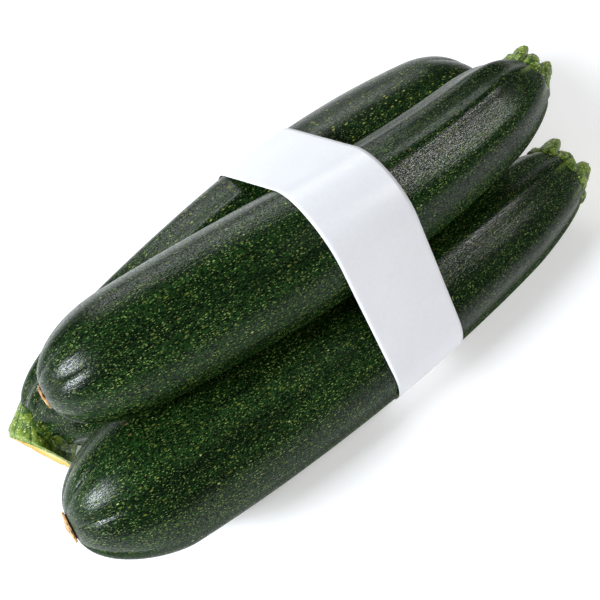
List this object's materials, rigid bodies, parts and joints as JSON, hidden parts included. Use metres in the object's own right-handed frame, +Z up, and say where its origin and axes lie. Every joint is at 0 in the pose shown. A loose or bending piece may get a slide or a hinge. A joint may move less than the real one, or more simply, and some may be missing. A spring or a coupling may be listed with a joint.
{
  "type": "banded bundle of courgettes",
  "caption": "Whole courgettes with cut ribbed stalks, lying side by side and held together by a plain paper band.",
  "frame": {"origin": "centre of the bundle's footprint, on the surface that it lies on", "axes": "+X along the fruits, towards the stalks of the top and front fruit; +Y from the front fruit to the back one; +Z up, the bundle's smallest extent"},
  "size_m": [0.1904, 0.0904, 0.0756],
  "materials": {
    "skin": "satin",
    "stalk": "matte",
    "paper": "satin"
  },
  "bodies": {
    "root": {"courgette_top": "skin", "courgette_front": "skin", "courgette_back": "skin", "stalk_top": "stalk", "stalk_front": "stalk", "stalk_back": "stalk", "paper_band": "paper"}
  },
  "joints": []
}
